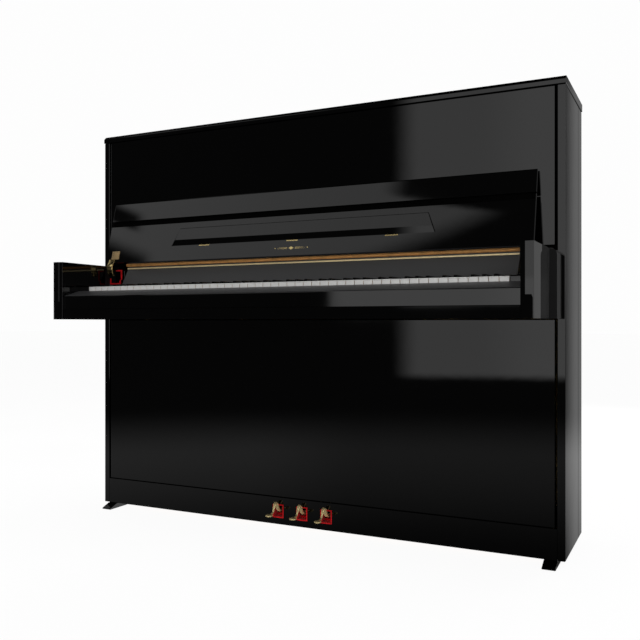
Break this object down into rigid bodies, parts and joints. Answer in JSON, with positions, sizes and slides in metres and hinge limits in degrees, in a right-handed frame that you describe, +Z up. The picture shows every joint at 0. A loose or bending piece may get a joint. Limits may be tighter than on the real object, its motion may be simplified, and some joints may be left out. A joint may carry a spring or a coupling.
{
  "type": "upright piano",
  "caption": "Upright piano: lacquered case with doors and hinged lid, leaning fallboard with folding lip and music flap, keys on a balance rail, pedals, action, strings, plate and soundboard.",
  "frame": {"origin": "on the floor, under the middle of the whole piano's box", "axes": "+X to the player's right along the keyboard, +Y from the player into the piano towards its back, +Z up"},
  "size_m": [1.444, 0.54, 1.197],
  "materials": {
    "black_lacquer": "mirror-polished black polyester lacquer",
    "white_key": "satin white key plastic",
    "black_key": "matt black sharps",
    "brass": "polished brass",
    "spruce": "varnished spruce",
    "beech": "satin beech",
    "gold_iron": "gold-painted cast iron",
    "string_steel": "drawn steel wire",
    "wound_copper": "copper winding",
    "white_felt": "pressed wool felt",
    "red_felt": "red bushing felt",
    "rail_aluminium": "extruded rail",
    "copper_trim": "copper-toned trim strip",
    "black_felt": "black felt and rubber"
  },
  "bodies": {
    "case": {"action_rail": "rail_aluminium", "back_bottom_rail": "beech", "back_top_rail": "beech", "bass_black_keys": "black_key", "bass_bridge": "beech", "bass_strings": "wound_copper", "bass_white_keys": "white_key", "bottom_board": "beech", "fall_rail": "black_lacquer", "iron_plate": "gold_iron", "key_frame": "spruce", "keybed": "black_lacquer", "keyslip": "black_lacquer", "left_arm": "black_lacquer", "left_back_post": "black_lacquer", "left_foot": "black_lacquer", "left_key_block": "black_lacquer", "left_side_panel": "black_lacquer", "middle_post": "spruce", "pin_block": "beech", "plinth_rail": "black_lacquer", "right_arm": "black_lacquer", "right_back_post": "black_lacquer", "right_foot": "black_lacquer", "right_key_block": "black_lacquer", "right_side_panel": "black_lacquer", "soundboard": "spruce", "treble_black_keys": "black_key", "treble_bridge": "beech", "treble_strings": "string_steel", "treble_white_keys": "white_key", "upper_panel": "black_lacquer"},
    "lid": {"top_lid": "black_lacquer"},
    "lower_door": {"lower_panel": "black_lacquer"},
    "fallboard": {"fallboard": "black_lacquer", "left_fall_arm": "brass", "right_fall_arm": "brass"},
    "fallboard_lip": {"fallboard_lip": "black_lacquer"},
    "music_flap": {"music_flap": "black_lacquer"},
    "soft_pedal": {"soft_pedal": "brass"},
    "middle_pedal": {"middle_pedal": "brass"},
    "sustain_pedal": {"sustain_pedal": "brass"},
    "soft_rod": {"soft_rod": "beech"},
    "middle_rod": {"middle_rod": "beech"},
    "sustain_rod": {"sustain_rod": "beech"},
    "hammers": {"hammers": "white_felt"},
    "muffler_rail": {"muffler_rail": "white_felt"},
    "dampers": {"dampers": "white_felt"},
    "c_key": {"c_key": "white_key"},
    "c_sharp_key": {"c_sharp_key": "black_key"},
    "d_key": {"d_key": "white_key"},
    "d_sharp_key": {"d_sharp_key": "black_key"},
    "e_key": {"e_key": "white_key"},
    "f_key": {"f_key": "white_key"},
    "f_sharp_key": {"f_sharp_key": "black_key"},
    "g_key": {"g_key": "white_key"},
    "g_sharp_key": {"g_sharp_key": "black_key"},
    "a_key": {"a_key": "white_key"},
    "a_sharp_key": {"a_sharp_key": "black_key"},
    "b_key": {"b_key": "white_key"}
  },
  "joints": [
    {"name": "lid_hinge", "type": "hinge", "parent": "case", "child": "lid", "pos_m": [0, 0.27, 1.1763], "axis": [-1, 0, 0], "range_deg": [0, 95]},
    {"name": "lower_door_tilt", "type": "hinge", "parent": "case", "child": "lower_door", "pos_m": [0, -0.02, 0.0945], "axis": [1, 0, 0], "range_deg": [0, 15]},
    {"name": "fallboard_hinge", "type": "hinge", "parent": "case", "child": "fallboard", "pos_m": [0, -0.07, 0.762], "axis": [1, 0, 0], "range_deg": [0, 105]},
    {"name": "lip_fold", "type": "hinge", "parent": "fallboard", "child": "fallboard_lip", "pos_m": [0, -0.05304, 0.91223], "axis": [1, 0, 0], "range_deg": [0, 66]},
    {"name": "music_flap_hinge", "type": "hinge", "parent": "fallboard", "child": "music_flap", "pos_m": [0, -0.07659, 0.82433], "axis": [-1, 0, 0], "range_deg": [-90, 0]},
    {"name": "soft_pedal_press", "type": "hinge", "parent": "case", "child": "soft_pedal", "pos_m": [-0.0765, 0.035, 0.05], "axis": [1, 0, 0], "range_deg": [0, 5], "stiffness_Nm_per_rad": 30, "springref_deg": -2.86},
    {"name": "middle_pedal_press", "type": "hinge", "parent": "case", "child": "middle_pedal", "pos_m": [0, 0.035, 0.05], "axis": [1, 0, 0], "range_deg": [0, 5], "stiffness_Nm_per_rad": 30, "springref_deg": -2.86},
    {"name": "sustain_pedal_press", "type": "hinge", "parent": "case", "child": "sustain_pedal", "pos_m": [0.0765, 0.035, 0.05], "axis": [1, 0, 0], "range_deg": [0, 5], "stiffness_Nm_per_rad": 30, "springref_deg": -2.86},
    {"name": "soft_rod_lift", "type": "slide", "parent": "case", "child": "soft_rod", "axis": [0, 0, 1], "range_m": [0, 0.0076]},
    {"name": "middle_rod_lift", "type": "slide", "parent": "case", "child": "middle_rod", "axis": [0, 0, 1], "range_m": [0, 0.0076]},
    {"name": "sustain_rod_lift", "type": "slide", "parent": "case", "child": "sustain_rod", "axis": [0, 0, 1], "range_m": [0, 0.0076]},
    {"name": "hammer_rail_swing", "type": "hinge", "parent": "case", "child": "hammers", "pos_m": [0, 0.085, 0.92], "axis": [-1, 0, 0], "range_deg": [0, 4.5]},
    {"name": "muffler_rail_slide", "type": "slide", "parent": "case", "child": "muffler_rail", "axis": [0, 0, -1], "range_m": [0, 0.03]},
    {"name": "damper_lift", "type": "hinge", "parent": "case", "child": "dampers", "pos_m": [0, 0.114, 0.905], "axis": [1, 0, 0], "range_deg": [0, 4.5]},
    {"name": "c_key_press", "type": "hinge", "parent": "case", "child": "c_key", "pos_m": [-0.0648, 0.01, 0.682], "axis": [1, 0, 0], "range_deg": [0, 2.5], "stiffness_Nm_per_rad": 3, "springref_deg": -3.44},
    {"name": "c_sharp_key_press", "type": "hinge", "parent": "case", "child": "c_sharp_key", "pos_m": [-0.0504, 0.01, 0.682], "axis": [1, 0, 0], "range_deg": [0, 2.5], "stiffness_Nm_per_rad": 3, "springref_deg": -3.44},
    {"name": "d_key_press", "type": "hinge", "parent": "case", "child": "d_key", "pos_m": [-0.036, 0.01, 0.682], "axis": [1, 0, 0], "range_deg": [0, 2.5], "stiffness_Nm_per_rad": 3, "springref_deg": -3.44},
    {"name": "d_sharp_key_press", "type": "hinge", "parent": "case", "child": "d_sharp_key", "pos_m": [-0.0216, 0.01, 0.682], "axis": [1, 0, 0], "range_deg": [0, 2.5], "stiffness_Nm_per_rad": 3, "springref_deg": -3.44},
    {"name": "e_key_press", "type": "hinge", "parent": "case", "child": "e_key", "pos_m": [-0.0072, 0.01, 0.682], "axis": [1, 0, 0], "range_deg": [0, 2.5], "stiffness_Nm_per_rad": 3, "springref_deg": -3.44},
    {"name": "f_key_press", "type": "hinge", "parent": "case", "child": "f_key", "pos_m": [0.00686, 0.01, 0.682], "axis": [1, 0, 0], "range_deg": [0, 2.5], "stiffness_Nm_per_rad": 3, "springref_deg": -3.44},
    {"name": "f_sharp_key_press", "type": "hinge", "parent": "case", "child": "f_sharp_key", "pos_m": [0.02057, 0.01, 0.682], "axis": [1, 0, 0], "range_deg": [0, 2.5], "stiffness_Nm_per_rad": 3, "springref_deg": -3.44},
    {"name": "g_key_press", "type": "hinge", "parent": "case", "child": "g_key", "pos_m": [0.03429, 0.01, 0.682], "axis": [1, 0, 0], "range_deg": [0, 2.5], "stiffness_Nm_per_rad": 3, "springref_deg": -3.44},
    {"name": "g_sharp_key_press", "type": "hinge", "parent": "case", "child": "g_sharp_key", "pos_m": [0.048, 0.01, 0.682], "axis": [1, 0, 0], "range_deg": [0, 2.5], "stiffness_Nm_per_rad": 3, "springref_deg": -3.44},
    {"name": "a_key_press", "type": "hinge", "parent": "case", "child": "a_key", "pos_m": [0.06171, 0.01, 0.682], "axis": [1, 0, 0], "range_deg": [0, 2.5], "stiffness_Nm_per_rad": 3, "springref_deg": -3.44},
    {"name": "a_sharp_key_press", "type": "hinge", "parent": "case", "child": "a_sharp_key", "pos_m": [0.07543, 0.01, 0.682], "axis": [1, 0, 0], "range_deg": [0, 2.5], "stiffness_Nm_per_rad": 3, "springref_deg": -3.44},
    {"name": "b_key_press", "type": "hinge", "parent": "case", "child": "b_key", "pos_m": [0.08914, 0.01, 0.682], "axis": [1, 0, 0], "range_deg": [0, 2.5], "stiffness_Nm_per_rad": 3, "springref_deg": -3.44}
  ],
  "couplings": [
    {"joint": "lip_fold", "follows": "fallboard_hinge", "ratio": 0.62857},
    {"joint": "soft_rod_lift", "follows": "soft_pedal_press", "m_per_rad": 0.083},
    {"joint": "middle_rod_lift", "follows": "middle_pedal_press", "m_per_rad": 0.083},
    {"joint": "sustain_rod_lift", "follows": "sustain_pedal_press", "m_per_rad": 0.083},
    {"joint": "hammer_rail_swing", "follows": "soft_pedal_press", "ratio": 0.88},
    {"joint": "muffler_rail_slide", "follows": "middle_pedal_press", "m_per_rad": 0.338},
    {"joint": "damper_lift", "follows": "sustain_pedal_press", "ratio": 0.8}
  ]
}
